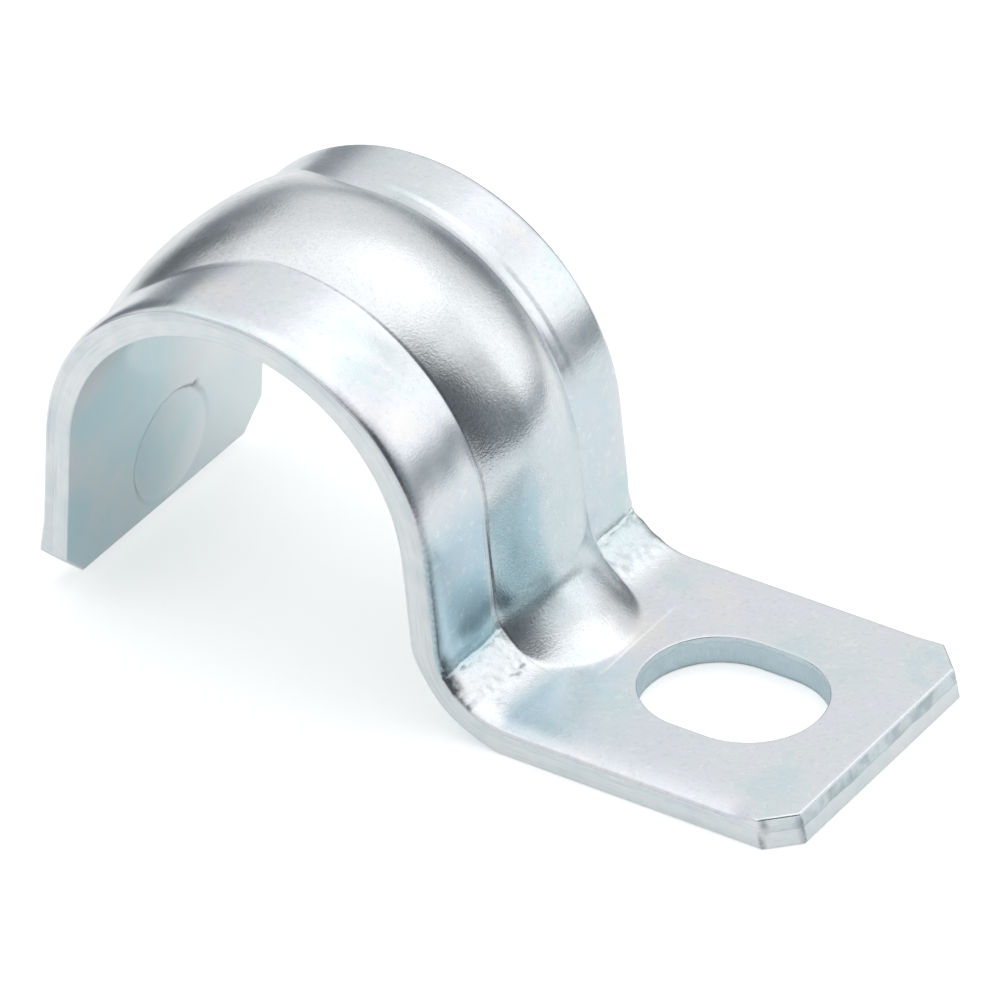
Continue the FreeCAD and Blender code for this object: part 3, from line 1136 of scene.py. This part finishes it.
def inner_plating():
    """The inner face: the same plating in its own tone, smoother and bluer, with a painted floor
    reflection across it and painted light and shade in the tool mark.
    """
    material, shader, nodes = new_material("zinc_inside")
    where = nodes.add("ShaderNodeTexCoord").outputs["Object"]
    mark = nodes.layer("mark")
    clouds = nodes.noise(where, 170.0, 3.0, 0.55, 0.4)
    film = nodes.ramp(clouds, (0.36, 0.50, 0.62), INNER_SHADED_FILM)
    lit_film = nodes.ramp(clouds, (0.32, 0.68), INNER_LIT_FILM)
    # The film darkens toward the near side as a painted reflection of the strap's shadow on the
    # floor
    base = nodes.mix(nodes.layer("film_and_painted_light"), lit_film, film)
    # Painted shade on the tool mark's deep side and painted light on its shallow side
    base = nodes.mix(nodes.spread(mark, 0.5, 1.05, 0.0, 0.5), base, MARK_PAINTED_SHADE)
    base = nodes.mix(nodes.spread(mark, 0.45, 0.05, 0.0, 0.6), base, MARK_PAINTED_LIGHT)
    flecks = nodes.noise(where, 1700.0, 3.0, 0.6)
    base = nodes.mix(nodes.spread(flecks, 0.28, 0.38, 0.16, 0.0), base, INNER_FLECK)
    base = darkened_by_dirt_and_shade(nodes, where, base)
    rough = nodes.spread(nodes.noise(where, 420.0, 4.0, 0.6), 0.3, 0.7, 0.28, 0.38)
    surface = nodes.bump(nodes.noise(where, 4200.0, 3.0, 0.6), 0.18, 0.00006)
    nodes.set(shader, Base_Color=base, Metallic=1.0, Roughness=rough, Normal=surface)
    return material


def sheared_band(nodes, where, depth):
    """The end wall's bands: burnished above, torn below, with a broken line between."""
    ragged = nodes.sum("MULTIPLY_ADD", nodes.noise(where, 650.0, 3.0, 0.6), 0.0028, depth)
    patchy = nodes.noise(where, 620.0, 3.0, 0.6)
    burnished = nodes.ramp(patchy, (0.42, 0.58), BURNISHED)
    torn = nodes.spread(ragged, TEAR_START, TEAR_END, 0.0, 1.0)
    band = nodes.mix(torn, burnished, grey(1.0))
    across_break = nodes.spread(ragged, BREAK_START, BREAK_END, 0.0, 1.0)
    broken = nodes.ramp(across_break, (0.30, 0.50, 0.70), (grey(0.0), grey(0.6), grey(0.0)))
    return nodes.mix(broken, band, BROKEN_LINE)


def sheared_edge():
    """The sheared sides and ends: plated, pale, with long fine lines of the shear."""
    material, shader, nodes = new_material("sheared_edge")
    coordinates = nodes.add("ShaderNodeTexCoord")
    where = coordinates.outputs["Object"]
    flat = coordinates.outputs["UV"]
    parts = nodes.add("ShaderNodeSeparateXYZ", Vector=flat)
    at_end = nodes.spread(parts.outputs["X"], END_WALL_START, END_WALL_FULL, 0.22, 1.0)
    clouds = nodes.noise(where, 380.0, 3.0, 0.6)
    base = nodes.ramp(clouds, (0.35, 0.6), SHEARED_CLOUDS)
    band = sheared_band(nodes, where, parts.outputs["Y"])
    base = nodes.mix(at_end, base, band, "MULTIPLY")
    lines = nodes.noise(nodes.stretched(flat, (28.0, 900.0, 1.0)), 1.0, 4.0, 0.6, 0.2)
    base = nodes.mix(nodes.spread(lines, 0.46, 0.30, 0.0, 0.5), base, SHEAR_LINE)
    base = darkened_by_dirt_and_shade(nodes, where, base)
    pits = nodes.noise(where, 3000.0, 3.0, 0.6)
    surface = nodes.bump(pits, 0.15, 0.00008, Normal=nodes.bump(lines, 0.16, 0.00008))
    nodes.set(shader, Base_Color=base, Metallic=1.0, Roughness=WALL_ROUGHNESS, Normal=surface)
    return material


def punched_wall():
    """The slot's wall: drawn through the sheet, rough below its burnished band."""
    material, shader, nodes = new_material("punched_wall")
    flat = nodes.add("ShaderNodeTexCoord").outputs["UV"]
    lines = nodes.noise(nodes.stretched(flat, (1400.0, 160.0, 1.0)), 1.0, 4.0, 0.6, 0.3)
    base = nodes.ramp(lines, (0.3, 0.65), PUNCHED_LINES)
    depth = nodes.add("ShaderNodeSeparateXYZ", Vector=flat).outputs["Y"]
    ragged = nodes.sum("MULTIPLY_ADD", nodes.noise(flat, 190.0, 3.0, 0.6), 0.008, depth)
    down = nodes.spread(ragged, 0.0, WORN_TO, 0.0, 1.0)
    worn = nodes.ramp(down, (0.33, 0.38, 0.44), WORN_BAND)
    at_top = nodes.spread(ragged, WORN_FADE_START, WORN_FADE_END, 0.8, 0.0)
    base = nodes.mix(at_top, base, worn)
    surface = nodes.bump(lines, 0.3, 0.00008)
    nodes.set(shader, Base_Color=base, Metallic=1.0, Roughness=WALL_ROUGHNESS, Normal=surface)
    return material


def look_camera():
    """The camera at the photo's angle, with its long lens."""
    ahead = Vector(CAMERA_AHEAD)
    right = Vector(CAMERA_RIGHT)
    data = bpy.data.cameras.new("camera")
    data.sensor_width = CAMERA_SENSOR
    data.lens = CAMERA_LENS
    data.clip_start = 0.05
    data.clip_end = 10.0
    camera = bpy.data.objects.new("camera", data)
    turn = Matrix((right, right.cross(ahead), -ahead)).transposed()
    camera.matrix_world = Matrix.Translation(Vector(CAMERA_AT) * MM) @ turn.to_4x4()
    bpy.context.scene.collection.objects.link(camera)
    bpy.context.scene.camera = camera


def white_floor():
    """A plain pale floor that shows white and keeps the strap's soft shadow."""
    level = WALL_LEVEL * MM
    mesh = bpy.data.meshes.new("floor")
    turns = [math.radians(turn) for turn in range(0, 360, FLOOR_TURN)]
    edge = [(FLOOR_RADIUS * math.cos(turn), FLOOR_RADIUS * math.sin(turn), level) for turn in turns]
    mesh.from_pydata(edge, [], [tuple(range(len(edge)))])
    floor = bpy.data.objects.new("floor", mesh)
    bpy.context.scene.collection.objects.link(floor)
    material, shader, nodes = new_material("floor_white")
    path = nodes.add("ShaderNodeLightPath").outputs
    mirrored = nodes.sum("MAXIMUM", path["Is Glossy Ray"], path["Is Transmission Ray"])
    seen = nodes.spread(path["Is Camera Ray"], 0.0, 1.0, 0.0, SEEN_GLOW)
    glow = nodes.sum("MULTIPLY_ADD", mirrored, MIRRORED_GLOW, seen)
    nodes.set(shader, Base_Color=grey(0.9), Roughness=1.0, Specular_IOR_Level=0.0)
    nodes.set(shader, Emission_Color=grey(1.0), Emission_Strength=glow)
    mesh.materials.append(material)


def lit_patch(nodes, direction, room, patch_at, tint):
    """The room with one round corner or panel mixed over it."""
    azimuth, elevation, outer, inner, brightness = patch_at
    a = math.radians(azimuth)
    e = math.radians(elevation)
    axis = (math.cos(e) * math.cos(a), math.cos(e) * math.sin(a), math.sin(e))
    aim = nodes.add("ShaderNodeVectorMath", operation="DOT_PRODUCT")
    nodes.put(direction, aim.inputs[0])
    nodes.put(axis, aim.inputs[1])
    mask = nodes.add(
        "ShaderNodeMapRange", interpolation_type="SMOOTHSTEP", Value=aim.outputs["Value"],
        From_Min=math.cos(math.radians(outer)), From_Max=math.cos(math.radians(inner)))
    return nodes.mix(mask.outputs["Result"], room, grey(brightness, tint))


def studio():
    """The room round the strap, which it mirrors; the camera sees a white backdrop."""
    world = bpy.data.worlds.new("studio")
    bpy.context.scene.world = world
    world.use_nodes = True
    nodes = Nodes(world.node_tree)
    background = world.node_tree.nodes["Background"]
    direction = nodes.add("ShaderNodeTexCoord").outputs["Generated"]
    height = nodes.add("ShaderNodeSeparateXYZ", Vector=direction).outputs["Z"]
    places, values, tints = zip(*ROOM_LEVELS)
    room = nodes.ramp(height, places, map(grey, values, tints))
    for corner in DARK_CORNERS:
        room = lit_patch(nodes, direction, room, corner, CORNER_TINT)
    for panel in BRIGHT_PANELS:
        room = lit_patch(nodes, direction, room, panel, 0.0)
    path = nodes.add("ShaderNodeLightPath").outputs
    backdrop = nodes.sum("MAXIMUM", path["Is Camera Ray"], path["Is Transmission Ray"])
    white = nodes.sum("MULTIPLY_ADD", path["Is Glossy Ray"], MIRRORED_WHITE, backdrop)
    nodes.set(background, Color=nodes.mix(white, room, grey(1.0)), Strength=1.0)


strap_object([plating(), sheared_edge(), punched_wall(), inner_plating()])
look_camera()
white_floor()
studio()
bpy.context.scene.view_settings.view_transform = "Standard"

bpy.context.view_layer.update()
